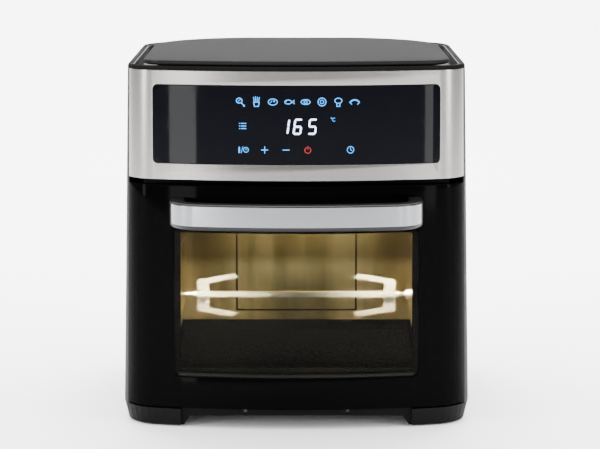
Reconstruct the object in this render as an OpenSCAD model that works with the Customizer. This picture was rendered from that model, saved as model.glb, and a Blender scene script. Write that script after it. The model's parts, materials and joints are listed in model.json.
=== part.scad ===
// Countertop air fryer oven with a drop-down door, rotisserie spit and touch panel.
// Millimetres, +Z up, origin on the table under the middle of the outside box; the door faces -Y.
// Inside each module depth runs from zero at the middle of the door's face towards the back.

/* [Body] */
// width over the side panels at the base seam
body_w = 342; // [330:1:420]
// depth from the middle of the door's face to the rear panel, at the base seam
body_d = 325; // [315:1:400]
// overall height to the crown of the top plate
body_h = 359.5; // [345:0.5:430]
// how far each side leans in between the base seam and the top
body_taper = 8; // [2:0.5:12]
// plan radius of the bowed front
bow_r = 600; // [480:10:900]
// plan radius of the front corners at the base seam
front_r = 42; // [30:1:50]
// plan radius of the rear corners at the base seam
rear_r = 62; // [40:1:80]
// side and rear sheet thickness
skin_t = 1.2; // [0.8:0.1:2]
// depth at which door and control band meet the side panels
seam_y = 37; // [34:0.5:42]

/* [Base] */
// height of the seam between base and body
base_h = 18.5; // [14:0.5:22]
// clear height under the base between its feet
arch_z = 10.5; // [8:0.5:12]
// thickness of the base floor and its upstand
base_t = 2.4; // [1.6:0.1:4]
// half width of the clear arch between the feet
arch_x = 104; // [90:1:112]
// how much the base leans in towards the table
base_lean = 4; // [2:0.5:6]
// radius of each rubber foot
foot_r = 9; // [6:0.5:12]
// how far each rubber foot stands below the base
foot_drop = 1.5; // [1:0.1:3]
// stand-off of the two rear spacers
spacer_l = 8; // [4:0.5:15]

/* [Control band] */
// height of the stainless band
band_h = 105; // [95:1:115]
// thickness of the stainless band
band_t = 1; // [0.6:0.1:1.6]
// width of the touch panel
panel_w = 275; // [240:1:280]
// height of the touch panel
panel_h = 76; // [60:1:80]
// corner radius of the touch panel
panel_r = 5; // [2:0.5:10]
// thickness of the touch panel
panel_t = 1.1; // [0.8:0.05:1.15]
// how far the touch panel stands proud of the band
panel_proud = 0.2; // [0.1:0.05:0.4]
// thickness of the plastic fascia behind the band
fascia_t = 2.4; // [1.8:0.1:4]

/* [Top] */
// height of the rim above the band
rim_h = 4; // [2:0.5:6]
// width of the rim round the top
rim_w = 4.5; // [3:0.5:8]
// depth of the grip channel inside the rim
grip_depth = 12; // [8:0.5:14]
// width of the top plate
plate_w = 294; // [270:1:296]
// depth of the top plate
plate_d = 292; // [260:1:296]
// plan radius of the top plate's rear corners
plate_rear_r = 100; // [60:1:120]
// thickness of the top plate at its edge
plate_t = 5.5; // [4:0.1:7]

/* [Door] */
// gap between door and control band
door_gap = 5.5; // [4:0.5:8]
// gap between door and base
door_foot_gap = 1.5; // [1:0.1:3]
// thickness of the moulded door frame
door_t = 3; // [2.4:0.1:4]
// width of the window
window_w = 238; // [200:1:244]
// corner radius of the window
window_r = 8; // [7:0.5:14]
// margin of door below the window
window_foot = 31; // [24:1:44]
// margin of door above the window
window_head = 40; // [36:1:60]
// how far the inner panel reaches in over each edge of the window
sight_inset = 4; // [3:0.5:8]
// thickness of both panes
glass_t = 3; // [2.5:0.1:4]
// depth of the hinge axis behind the middle of the door's face
hinge_y = 10.5; // [9.5:0.1:11.5]
// height of the hinge axis above the door's lower edge
hinge_rise = 5; // [4.5:0.1:6]
// distance of each hinge from the middle
hinge_x = 50; // [30:1:60]
// radius of the hinge pins
pin_r = 1.75; // [1.5:0.05:2]

/* [Handle] */
// width over the handle
handle_w = 241; // [190:1:250]
// height of the handle
handle_h = 25; // [18:0.5:28]
// reach of the handle in front of the door
handle_reach = 46; // [40:0.5:52]
// thickness of the handle bar
handle_t = 13.5; // [10:0.5:16]
// drop of the handle below the door's upper edge
handle_drop = 11; // [8:0.5:18]
// plan radius of the bowed handle
handle_bow_r = 530; // [400:10:800]
// plan radius of the handle's ends
handle_end_r = 30; // [24:1:34]
// black margin at each end of the handle's brushed plate
handle_margin = 1.5; // [1:0.25:6]

/* [Cavity] */
// inside width of the cooking cavity
cavity_w = 250; // [220:1:256]
// inside depth of the cooking cavity
cavity_d = 236; // [200:1:240]
// height of the cavity floor above the base seam
cavity_floor = 22; // [18:1:30]
// sheet thickness of the cavity liner
liner_t = 1; // [0.8:0.1:1.5]
// height of the wall between the cavity's mouth and the door's upper edge
mouth_head = 14; // [13:0.5:20]
// height of the heater space above the cavity
heater_h = 32; // [26:1:36]
// height of the embossed panel on the back wall
emboss_h = 1.5; // [1:0.1:3]
// depth of the drip tray
tray_h = 12; // [8:0.5:16]

/* [Hot air] */
// radius of the outer heating loop
coil_r = 86; // [74:1:90]
// radius of the heating element's tube
coil_tube_r = 3.2; // [2.5:0.1:4]
// radius of the hot-air fan
fan_r = 62; // [50:1:64]
// number of fan blades
fan_blades = 10; // [6:1:14]
// radius of the fan shaft
shaft_r = 3; // [2.5:0.1:4]
// radius of the fan motor
motor_r = 30; // [24:1:34]
// height of the fan motor
motor_h = 26; // [20:1:28]

/* [Rotisserie] */
// height of the spit above the cavity floor
spit_rise = 64; // [58:1:80]
// width across the square bar of the spit
spit_bar = 5.5; // [4.5:0.1:6.5]
// radius of the spit's round ends
spit_end_r = 2; // [1.6:0.05:2.1]
// distance of each fork from the cavity's side wall
fork_inset = 35; // [31:1:60]
// height of each fork's upright
fork_h = 34; // [28:1:40]
// width of each fork's upright
fork_w = 12; // [10:0.5:14]
// thickness of each fork's sheet
fork_t = 2.5; // [2:0.1:3.5]
// length of the fork prongs
prong_l = 30; // [20:1:40]
// width of the fork prongs
prong_w = 5; // [4:0.25:7]

/* [Hidden] */
$fn = 48;
eps = 0.1;                      // overcut so that cutters pass right through
run_c = 0.05;                   // running clearance of pins and shafts
fit_c = 0.3;                    // clearance between seated panels
n_bow = 10;                     // facets along the bowed front
n_corner = 7;                   // facets round each corner
front_y = -(body_d + spacer_l - handle_reach) / 2;
plate_crown = body_h;
rim_top = plate_crown - plate_t - 0.3;
band_top = rim_top - rim_h;
band_z = band_top - band_h;
door_top = band_z - door_gap;
door_z = base_h + door_foot_gap;
door_back = seam_y - 6;
panel_mid = band_z + band_h / 2 + 1;
window_z = door_z + window_foot;
window_top = door_top - window_head;
hinge_z = door_z + hinge_rise;
handle_z = door_top - handle_drop - handle_h;
cavity_z = base_h + cavity_floor;
cavity_top = door_top - mouth_head;
cavity_y = seam_y + liner_t;
heater_y = cavity_y + cavity_d / 2;
heater_z = cavity_top + liner_t;
heater_top = heater_z + heater_h;
heater_w = 2 * (coil_r + 14);
spit_z = cavity_z + spit_rise;
spit_y = cavity_y + cavity_d * 0.48;
wall_x = cavity_w / 2;
liner_x = wall_x + liner_t;
fork_x = wall_x - fork_inset;
handle_plate_w = handle_w - 2 * handle_margin;
steel = [0.72, 0.71, 0.69];
bright = [0.82, 0.82, 0.82];
black = [0.07, 0.07, 0.08];
dark = [0.16, 0.16, 0.17];
grey = [0.45, 0.45, 0.45];
glass = [0.3, 0.35, 0.38, 0.35];
green = [0.1, 0.35, 0.2];
white = [0.9, 0.9, 0.88];
copper = [0.72, 0.45, 0.2];
rubber = [0.12, 0.12, 0.12];

// ---------- outline helpers ----------
function arc(c, r, a0, a1, n) = [for (i = [0:n]) let (a = a0 + (a1 - a0) * i / n) c + r * [cos(a), sin(a)]];

// D-shaped plan outline: bowed front, two front and two rear corners, inset by e
function plan(w, d, bow, rf, rr, e) =
  let (cx = w / 2 - rf, cy = bow - sqrt(pow(bow - rf, 2) - cx * cx), lean = asin(cx / (bow - rf)))
  concat(
    arc([0, bow], bow - e, -90 - lean, -90 + lean, n_bow),
    arc([cx, cy], rf - e, -90 + lean + (90 - lean) / n_corner, 0, n_corner - 1),
    arc([w / 2 - rr, d - rr], rr - e, 0, 90, n_corner),
    arc([rr - w / 2, d - rr], rr - e, 90, 180, n_corner),
    arc([-cx, cy], rf - e, 180, 270 - lean - (90 - lean) / n_corner, n_corner - 1));

function lean_at(z) = body_taper * (z - base_h) / (body_h - base_h);
function body_ring(z, wall) = [for (p = plan(body_w, body_d, bow_r, front_r, rear_r, lean_at(z) + wall))
  [p[0], p[1] - lean_at(z), z]];
function plate_ring(z, e) = [for (p = plan(plate_w, plate_d, bow_r, plate_front_r, plate_rear_r, e))
  [p[0], p[1] + plate_back, z]];

// closed solid through a stack of rings with equal point counts
module loft(rings) {
  n = len(rings[0]);
  m = len(rings);
  polyhedron(
    points = [for (r = rings) for (p = r) p],
    faces = concat(
      [[for (i = [0:n - 1]) i]],
      [[for (i = [0:n - 1]) m * n - 1 - i]],
      [for (k = [0:m - 2]) for (i = [0:n - 1])
        [k * n + i, (k + 1) * n + i, (k + 1) * n + (i + 1) % n, k * n + (i + 1) % n]]));
}

module body_solid(z0, z1, wall = 0) {
  loft([body_ring(z0, wall), body_ring(z1, wall)]);
}

module body_skin(z0, z1, wall, t) {
  difference() {
    body_solid(z0, z1, wall);
    body_solid(z0 - eps, z1 + eps, wall + t);
  }
}

module place() {
  translate([0, front_y, 0]) children();
}

module both_sides() {
  children();
  mirror([1, 0, 0]) children();
}

// rounded rectangle in x and z, running from y0 to y1
module window_block(w, z0, z1, r, y0, y1) {
  translate([0, y1, 0]) rotate([90, 0, 0]) linear_extrude(y1 - y0) union() {
    translate([-w / 2 + r, z0]) square([w - 2 * r, z1 - z0]);
    translate([-w / 2, z0 + r]) square([w, z1 - z0 - 2 * r]);
    for (x = [-1, 1], z = [z0 + r, z1 - r]) translate([x * (w / 2 - r), z]) circle(r);
  }
}

module box(x0, x1, y0, y1, z0, z1) {
  translate([x0, y0, z0]) cube([x1 - x0, y1 - y0, z1 - z0]);
}

module rod_x(r, x0, x1) {
  translate([x0, 0, 0]) rotate([0, 90, 0]) cylinder(r = r, h = x1 - x0);
}

module rod_y(r, y0, y1) {
  translate([0, y0, 0]) rotate([-90, 0, 0]) cylinder(r = r, h = y1 - y0);
}

// pan-head screw with its tip at zero and its head towards +Z
module screw(r, l, head_r, head_h) {
  cylinder(r = r, h = l);
  difference() {
    translate([0, 0, l]) cylinder(r = head_r, h = head_h);
    box(-head_r * 0.6, head_r * 0.6, -0.4, 0.4, l + head_h * 0.5, l + head_h + eps);
    box(-0.4, 0.4, -head_r * 0.6, head_r * 0.6, l + head_h * 0.5, l + head_h + eps);
  }
}

// ---------- base ----------
foot_inset = 34;
foot_rear_inset = 40;
foot_x = body_w / 2 - foot_inset;
foot_front_y = foot_inset;
foot_rear_y = body_d - foot_rear_inset;
foot_pocket = 3;
foot_block = 30;
vent_n = 7;
vent_pitch = 10;
vent_half_w = 2;
vent_half_l = 45;
screw_head_r = 3.2;
screw_head_h = 1.8;
base_screw_l = 14;
floor_z = arch_z + base_t;
recess_x = 113;
recess_y = hinge_y + hinge_rise + 1.5;
post_r = 5;
post_x = 95;
post_y0 = 80;
post_y1 = 240;
screw_r = 1.5;

module base_solid() {
  loft([[for (p = body_ring(base_h, base_lean)) [p[0], p[1], foot_drop]], body_ring(base_h, 0)]);
}

module base_pan() color(dark) place() {
  difference() {
    union() {
      difference() {
        base_solid();
        body_solid(floor_z, base_h + eps, base_lean + base_t);
        translate([0, -eps, 0]) rotate([90, 0, 0]) mirror([0, 0, 1]) linear_extrude(body_d + 1)
          polygon([[-arch_x - 8, -1], [arch_x + 8, -1], [arch_x, arch_z], [-arch_x, arch_z]]);
        box(-body_w, body_w, foot_front_y + foot_block, foot_rear_y - foot_block, -1, arch_z);
      }
      for (x = [-post_x, post_x], y = [post_y0, post_y1])
        translate([x, y, floor_z]) cylinder(r = post_r, h = cavity_z - liner_t - floor_z);
      // upstand behind the space in which the door's lower edge swings
      intersection() {
        base_solid();
        box(-recess_x - base_t, recess_x + base_t, recess_y, recess_y + base_t, arch_z, base_h);
      }
    }
    box(-recess_x, recess_x, -10, recess_y, -1, base_h + 1);
    for (x = [-foot_x, foot_x], y = [foot_front_y, foot_rear_y])
      translate([x, y, -eps]) cylinder(r = foot_r + run_c, h = foot_drop + foot_pocket + eps);
    for (x = [-post_x, post_x], y = [post_y0, post_y1])
      translate([x, y, 0]) cylinder(r = screw_r + run_c, h = cavity_z - liner_t + eps);
    for (i = [-vent_n:vent_n])
      box(i * vent_pitch - vent_half_w, i * vent_pitch + vent_half_w, body_d / 2 - vent_half_l,
        body_d / 2 + vent_half_l, 0, floor_z + eps);
    for (x = [-hinge_x, hinge_x])
      box(x - ear_t / 2 - eps, x + ear_t / 2 + eps, recess_y - 1, recess_y + base_t + eps,
            floor_z, base_h + 1);
  }
}

module rubber_feet() color(rubber) place() {
  for (x = [-foot_x, foot_x], y = [foot_front_y, foot_rear_y]) translate([x, y, 0]) difference() {
    cylinder(r = foot_r, h = foot_drop + foot_pocket);
    translate([0, 0, -eps]) cylinder(r = foot_r * 0.35, h = 1);
  }
}

module base_screws() color(bright) place() {
  for (x = [-post_x, post_x], y = [post_y0, post_y1]) translate([x, y, arch_z])
    mirror([0, 0, 1]) translate([0, 0, -base_screw_l])
      screw(screw_r, base_screw_l, screw_head_r, screw_head_h);
}

// ---------- outer panels ----------
cover_w = body_w - 2 * rear_r - 6;
slot_n = 9;
slot_h = 3.5;
slot_pitch = 7.5;
slot_z = 266;
low_slot_h = 4;
low_slot_pitch = 11;
low_slot_z = 100;
spacer_x = 70;
spacer_z = 60;
gland_x = -76;
gland_z = 34;
gland_r = 7.2;
gland_flange_r = 10;
rear_screw_x = cover_w / 2 - 6;
rear_screw_z = [26, 180, 320];

module side_panel() {
  difference() {
    body_skin(base_h, band_top, 0, skin_t);
    box(-body_w, cover_w / 2, -10, body_d + 10, 0, body_h);
    box(-body_w, body_w, -10, seam_y, 0, body_h);
  }
  // flange behind the rear cover, which its screws grip
  difference() {
    body_skin(base_h + 1, band_top - 1, skin_t + 0.02, skin_t);
    box(-body_w, cover_w / 2 - 14, -10, body_d + 10, 0, body_h);
    box(cover_w / 2 + 3, body_w, -10, body_d + 10, 0, body_h);
    box(-body_w, body_w, -10, body_d / 2, 0, body_h);
    for (z = rear_screw_z) translate([rear_screw_x, 0, z]) rod_y(screw_r, body_d - 60, body_d + 10);
  }
  difference() {
    body_skin(base_h + 1, band_top - 1, skin_t * 0.5, skin_t);
    box(-body_w, cover_w / 2 + 1, -10, body_d + 10, 0, body_h);
    box(cover_w / 2 + 3, body_w, -10, body_d + 10, 0, body_h);
    box(-body_w, body_w, -10, body_d / 2, 0, body_h);
  }
}

module right_side_panel() color(grey) place() side_panel();

module left_side_panel() color(grey) place() mirror([1, 0, 0]) side_panel();

function rear_at(z) = body_d - 2 * lean_at(z);

module rear_cover() color(dark) place() {
  difference() {
    intersection() {
      body_skin(base_h, band_top, 0, skin_t);
      box(-cover_w / 2 + fit_c / 2, cover_w / 2 - fit_c / 2, body_d - 60, body_d + 10, 0, body_h);
    }
    for (i = [0:slot_n - 1]) {
      z = slot_z + i * slot_pitch;
      box(-48, 48, body_d - 60, body_d + 10, z, z + slot_h);
      both_sides() box(56, 80, body_d - 60, body_d + 10, z, z + slot_h);
    }
    for (i = [0:slot_n - 1]) {
      z = low_slot_z + i * low_slot_pitch;
      box(-70, 70, body_d - 60, body_d + 10, z, z + low_slot_h);
    }
    box(-32, 32, body_d - 60, body_d + 10, heater_z + 5, heater_z + 21);
    translate([gland_x, 0, gland_z]) rod_y(gland_r + run_c, body_d - 60, body_d + 10);
    both_sides() for (z = rear_screw_z) translate([rear_screw_x, 0, z])
      rod_y(screw_r, body_d - 60, body_d + 10);
  }
}

module rear_spacers() color(rubber) place() {
  both_sides() translate([spacer_x, rear_at(spacer_z) + 0.5, spacer_z]) {
    rotate([-90, 0, 0]) cylinder(r1 = 11, r2 = 9, h = body_d + spacer_l - rear_at(spacer_z) - 0.5);
  }
}

module rear_screws() color(bright) place() {
  both_sides() for (z = rear_screw_z) translate([rear_screw_x, rear_at(z) + 0.3 - 9, z])
    rotate([-90, 0, 0]) screw(screw_r, 9, 3.4, 1.6);
}

// ---------- top ----------
well_z = band_top - grip_depth;
well_t = 2;
plate_z = plate_crown - plate_t;
pedestal_e = 13;
plate_back = 3;
plate_front_r = 22;

module top_rim() color(grey) place() {
  difference() {
    union() {
      loft([body_ring(band_top, 0), body_ring(band_top + rim_h * 0.6, 0), body_ring(rim_top, 1.2)]);
      body_solid(well_z, band_top, band_t + fascia_t + 0.4);
    }
    body_solid(well_z + well_t, rim_top + eps, rim_w + 1.5);
    box(-70, 70, body_d * 0.35, body_d * 0.62, well_z - eps, well_z + well_t + eps);
  }
}

module top_plate() color(grey) place() {
  loft([plate_ring(plate_z, 3), plate_ring(plate_z + 1.8, 0.4), plate_ring(plate_z + 3.4, 0),
    plate_ring(plate_crown - 0.7, 1.6), plate_ring(plate_crown, 6)]);
  difference() {
    loft([plate_ring(well_z + well_t, pedestal_e), plate_ring(plate_z, pedestal_e)]);
    loft([plate_ring(well_z + well_t - eps, pedestal_e + 3), plate_ring(plate_z - 2, pedestal_e + 3)]);
  }
}

// ---------- control band ----------
shelf_t = 2;
band_back = seam_y - 0.5;
skirt_lap = 2;
skirt_x = 148;
board_y = 22;
board_w = 214;
board_h = 62;
board_t = 1.6;

module control_band() color(steel) place() {
  difference() {
    body_skin(band_z, band_top, 0, band_t);
    box(-body_w, body_w, band_back, body_d + 10, 0, body_h);
    window_block(panel_w, panel_mid - panel_h / 2, panel_mid + panel_h / 2, panel_r, -5, 40);
  }
}

module board_posts(r, extra) {
  both_sides() for (z = [-1, 1]) translate([board_w / 2 - 5, 0, panel_mid + z * (board_h / 2 - 5)])
    rod_y(r, board_y - 7.6 - (extra > 0 ? 0 : 7), board_y + extra);
}

module fascia_frame() color(black) place() {
  difference() {
    union() {
      body_skin(band_z, well_z, band_t, fascia_t);
      body_solid(band_z, band_z + shelf_t, band_t);
      // dark skirt behind the gap over the door
      intersection() {
        body_solid(door_top - skirt_lap, band_z + 0.5, skin_t + 2);
        box(-skirt_x, skirt_x, band_back - 3.5, band_back, 0, body_h);
      }
      intersection() {
        body_solid(band_z, well_z, band_t + 1);
        board_posts(3.6, 0);
      }
    }
    box(-body_w, body_w, band_back, body_d + 10, 0, body_h);
    window_block(board_w - 30, panel_mid - board_h / 2 + 6, panel_mid + board_h / 2 - 3, panel_r, -5, 60);
    board_posts(screw_r, 10);
  }
}

module touch_panel() color(black) place() {
  intersection() {
    body_skin(band_z, band_top, -panel_proud, panel_t);
    window_block(panel_w - fit_c, panel_mid - (panel_h - fit_c) / 2, panel_mid + (panel_h - fit_c) / 2,
      panel_r - fit_c / 2, -5, 40);
  }
}

module light_guide() color(white) place() {
  difference() {
    box(-board_w / 2 + 11, board_w / 2 - 11, board_y - 7, board_y, panel_mid - 26, panel_mid + 28);
    for (i = [-3.5:3.5]) box(i * 16 - 6, i * 16 + 6, 0, board_y + 1, panel_mid + 12, panel_mid + 26);
    box(-34, 60, 0, board_y + 1, panel_mid - 10, panel_mid + 9);
    for (x = [-50, -30, -10, 11, 52]) box(x - 7, x + 7, 0, board_y + 1, panel_mid - 25, panel_mid - 12);
  }
}

module display_board() color(green) place() {
  difference() {
    union() {
      box(-board_w / 2, board_w / 2, board_y, board_y + board_t,
      panel_mid - board_h / 2, panel_mid + board_h / 2);
      box(-30, -4, board_y + 1.6, board_y + 5, panel_mid - 10, panel_mid + 12);
      box(20, 44, board_y + 1.6, board_y + 9, panel_mid - 20, panel_mid - 12);
      for (x = [-74, 66]) translate([x, board_y + 1.6, panel_mid]) rod_y(4, 0, 8);
    }
    board_posts(screw_r + run_c, 5);
  }
}

module board_screws() color(bright) place() {
  both_sides() for (z = [-1, 1])
    translate([board_w / 2 - 5, board_y - 7.5, panel_mid + z * (board_h / 2 - 5)])
      rotate([-90, 0, 0]) screw(screw_r, 9.1, 2.8, 1.5);
}

// ---------- door ----------
ledge_t = 2;
ledge_w = 6;
inner_t = 1.5;
pocket_w = 9;
ear_t = 3;
ear_r = 4.2;
handle_screw_x = handle_w / 2 - handle_t / 2;
door_screw_x = 140;
gasket_w = 6;
gasket_clear = 0.8;

module door_cut(grow) {
  window_block(window_w + grow, window_z - grow / 2, window_top + grow / 2, window_r + grow / 2, -5, 60);
}

module door_envelope(z0, z1, wall, y1) {
  difference() {
    body_solid(z0, z1, wall);
    box(-body_w, body_w, y1, body_d + 10, 0, body_h);
  }
}

module hinge_pockets(w) {
  for (x = [-hinge_x, hinge_x])
    box(x - w / 2, x + w / 2, door_t + 0.8, seam_y, door_z - eps, hinge_z + ear_r + 2);
}

module door_posts(r, y1) {
  both_sides() for (z = [door_z + 60, door_top - 14])
    translate([door_screw_x, 0, z]) rod_y(r, door_back - (r > 3 ? 20 : 8), y1);
}

module door_frame() color(black) place() {
  difference() {
    union() {
      difference() {
        door_envelope(door_z, door_top, 0, seam_y - 1);
        door_envelope(door_z + door_t, door_top - door_t, door_t, seam_y);
        box(-skirt_x - 2, skirt_x + 2, door_back, seam_y, 0, body_h);
      }
      difference() {
        intersection() {
          door_envelope(door_z + door_t, door_top - door_t, door_t - 0.5, door_back);
          body_skin(door_z, door_top, door_t - 0.4, glass_t + ledge_t + 0.6 - door_t);
          window_block(window_w + 12, window_z - 6, window_top + 6, 6, -5, 60);
        }
        door_cut(-2 * ledge_w);
      }
      for (x = [-hinge_x, hinge_x])
        intersection() {
          body_solid(door_z, door_top, 0.5);
          box(x - pocket_w / 2 - 5, x + pocket_w / 2 + 5, 0, 24, door_z, hinge_z + ear_r + 5);
        }
      intersection() {
        body_solid(door_z, door_top, 0.5);
        door_posts(4.5, door_back - inner_t);
      }
      both_sides() intersection() {
        body_solid(door_z, door_top, 0.5);
        translate([handle_screw_x, 0, handle_z + handle_h / 2]) rod_y(6, 0, 22);
      }
    }
    intersection() {
      door_cut(0);
      body_skin(door_z, door_top, -1, glass_t + 1.2);
    }
    door_posts(screw_r, door_back);
    hinge_pockets(pocket_w);
    for (x = [-hinge_x, hinge_x]) translate([0, hinge_y, hinge_z])
      rod_x(pin_r, x - pocket_w / 2 - 4, x + pocket_w / 2 + 4);
    both_sides() translate([handle_screw_x, 0, handle_z + handle_h / 2]) {
      rod_y(2.1, -5, 40);
      rod_y(4.2, 17, 40);
    }
  }
}

module door_outer_glass() color(glass) place() {
  intersection() {
    door_cut(-2 * fit_c);
    body_skin(door_z, door_top, 0.2, glass_t);
  }
}

module door_inner_panel() color(steel) place() {
  difference() {
    union() {
      difference() {
        door_envelope(door_z + door_t + fit_c, door_top - door_t - fit_c, door_t + fit_c, door_back);
        box(-body_w, body_w, -10, door_back - inner_t, 0, body_h);
      }
      difference() {
        window_block(window_w + 8, window_z - 4, window_top + 4, 6, door_back - 7, door_back - inner_t);
        window_block(window_w + fit_c, window_z - fit_c / 2, window_top + fit_c / 2, 2, 0, door_back);
      }
    }
    window_block(window_w - 2 * sight_inset, window_z + sight_inset, window_top - sight_inset, 5,
      0, door_back + 5);
    hinge_pockets(pocket_w + 12);
    door_posts(screw_r, door_back + 1);
  }
}

module door_inner_glass() color(glass) place() {
  window_block(window_w, window_z, window_top, 2, door_back - inner_t - glass_t, door_back - inner_t);
}

module door_gasket() color(rubber) place() {
  difference() {
    window_block(cavity_w + 2 * gasket_w, cavity_z - gasket_w, cavity_top + gasket_w - 1, 10, door_back,
      seam_y - gasket_clear);
    window_block(cavity_w, cavity_z, cavity_top - 1, 6, door_back - 1, seam_y);
  }
}

module door_screws() color(bright) place() {
  both_sides() for (z = [door_z + 60, door_top - 14]) translate([door_screw_x, door_back - 8, z])
    rotate([-90, 0, 0]) screw(screw_r, 8, 2.6, 1.2);
}

module door_striker() color(bright) place() {
  window_block(26, door_top - 7.2, door_top - 3.5, 1, door_back, door_back + 1.2);
}

module hinge_pins() color(bright) place() {
  for (x = [-hinge_x, hinge_x]) translate([0, hinge_y, hinge_z])
    rod_x(pin_r, x - pocket_w / 2 - 4, x + pocket_w / 2 + 4);
}

module hinge_brackets() color(bright) place() {
  for (x = [-hinge_x, hinge_x]) difference() {
    union() {
      translate([0, hinge_y, hinge_z]) rod_x(ear_r, x - ear_t / 2, x + ear_t / 2);
      translate([x - ear_t / 2, 0, 0]) rotate([90, 0, 90]) linear_extrude(ear_t)
        polygon([[hinge_y + 0.5, hinge_z - ear_r + 0.02], [recess_y + base_t, floor_z],
          [recess_y + base_t + 14, floor_z], [recess_y + base_t + 14, base_h], [hinge_y + 3, hinge_z + 2.9]]);
      box(x - 9, x + 9, recess_y + base_t, recess_y + base_t + 14, floor_z, floor_z + 1.5);
    }
    translate([0, hinge_y, hinge_z]) rod_x(pin_r + run_c, x - ear_t, x + ear_t);
  }
}

module catch_magnet() color(dark) place() {
  box(-14, 14, seam_y - 2.2, seam_y, door_top - 7.4, door_top - 2.6);
}

// ---------- handle ----------
handle_y = -handle_reach;
function handle_ring(z, e) = [for (p = plan(handle_w, 120, handle_bow_r, handle_end_r, handle_end_r, e))
  [p[0], p[1] + handle_y, z]];

module handle_body() color(black) place() {
  difference() {
    loft([handle_ring(handle_z, 3), handle_ring(handle_z + 2.5, 0.5), handle_ring(handle_z + 4, 0),
      handle_ring(handle_z + handle_h - 1.5, 0), handle_ring(handle_z + handle_h, 1.5)]);
    loft([handle_ring(handle_z - 1, handle_t), handle_ring(handle_z + handle_h + 1, handle_t)]);
    body_solid(handle_z - 5, handle_z + handle_h + 5, 0);
    box(-handle_w, handle_w, front_r, 200, 0, body_h);
    handle_inlay(0.05);
    both_sides() translate([handle_screw_x, 0, handle_z + handle_h / 2]) rod_y(screw_r, -8, 40);
  }
}

module handle_inlay(c) {
  intersection() {
    difference() {
      loft([handle_ring(handle_z + 3.5 - c, -1), handle_ring(handle_z + handle_h - 1 + c, -1)]);
      loft([handle_ring(handle_z, 1.6), handle_ring(handle_z + handle_h + 5, 1.6)]);
    }
    box(-handle_plate_w / 2 - c, handle_plate_w / 2 + c, -handle_reach - 5, -6, 0, body_h);
  }
}

module handle_plate() color(bright) place() {
  intersection() {
    handle_inlay(-0.05);
    loft([handle_ring(handle_z, 0), handle_ring(handle_z + handle_h + 5, 0)]);
  }
}

module handle_screws() color(bright) place() {
  both_sides() translate([handle_screw_x, -6, handle_z + handle_h / 2])
    rotate([-90, 0, 0]) screw(1.5, 23, 3.6, 2);
}

// ---------- cavity ----------
rail_z = [34, 104];
lamp_y = cavity_y + cavity_d * 0.72;
lamp_z = cavity_top - 40;
lamp_r = 15;
probe_y = cavity_y + 60;
probe_z = cavity_top - 16;
duct_w = 60;
flange_t = 1;

module cavity_liner() color(steel) place() {
  difference() {
    union() {
      difference() {
        box(-liner_x, liner_x, seam_y, cavity_y + cavity_d + liner_t,
        cavity_z - liner_t, cavity_top + liner_t);
        box(-wall_x, wall_x, seam_y - 1, cavity_y + cavity_d, cavity_z, cavity_top);
      }
      intersection() {
        body_solid(base_h + 0.5, door_top - skirt_lap - fit_c, skin_t + 0.2);
        box(-body_w, body_w, seam_y, seam_y + flange_t, 0, body_h);
      }
      window_block(cavity_w * 0.52, cavity_z + 22, cavity_top - 30, 14, cavity_y + cavity_d - emboss_h,
        cavity_y + cavity_d + 0.2);
      for (z = rail_z) both_sides()
        box(wall_x - 4, wall_x, cavity_y + 12, cavity_y + cavity_d - 12, cavity_z + z, cavity_z + z + 3);
    }
    box(-wall_x, wall_x, seam_y - 5, seam_y + 5, cavity_z, cavity_top);
    translate([0, heater_y, cavity_top - 1]) cylinder(r = coil_r + 8, h = 5);
    translate([0, spit_y, spit_z]) rod_x(8.5, -liner_x - 1, -wall_x + 1);
    translate([0, spit_y, spit_z]) rod_x(socket_r + 0.5, wall_x - 1, liner_x + 1);
    translate([0, lamp_y, lamp_z]) rod_x(lamp_r + 0.2, wall_x - 6, liner_x + 1);
    translate([0, probe_y, probe_z]) rod_x(2.6, -liner_x - 1, -wall_x + 1);
    translate([switch_x, 0, switch_z]) rod_y(2.4, seam_y - 1, seam_y + 3);
  }
}

module drip_tray() color(black) place() {
  difference() {
    box(-wall_x + 2, wall_x - 2, cavity_y + 4, cavity_y + cavity_d - 4, cavity_z, cavity_z + tray_h);
    box(-wall_x + 3.2, wall_x - 3.2, cavity_y + 5.2, cavity_y + cavity_d - 5.2, cavity_z + 1.2,
      cavity_z + tray_h + 1);
  }
  both_sides() box(wall_x - 2, wall_x - 0.8, cavity_y + 4, cavity_y + cavity_d - 4, cavity_z + tray_h - 1.2,
    cavity_z + tray_h);
}

module ring_flat(r0, r1, z0, z1) {
  translate([0, 0, z0]) rotate_extrude() translate([r0, 0]) square([r1 - r0, z1 - z0]);
}

module fan_guard() color(bright) place() translate([0, heater_y, heater_z - liner_t]) {
  for (i = [0:6]) ring_flat(8 + i * 13, 10 + i * 13, 0.2, 1.8);
  ring_flat(coil_r + 4, coil_r + 12, -1.2, 0);
  ring_flat(coil_r + 4, coil_r + 6, -0.2, 1.8);
  for (a = [0:60:300]) rotate([0, 0, a + 15]) box(9, coil_r + 5, -1.2, 1.2, 0.2, 1.8);
}

// ---------- heater and fan ----------
bush_x = [-18, 18];
function bush_at(x) = sqrt(coil_r * coil_r - x * x);
hub_r = 9;
fan_z = heater_z + 16;
coil_z = heater_z + 7;
coil_leg_r = coil_tube_r + 0.3;

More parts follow.
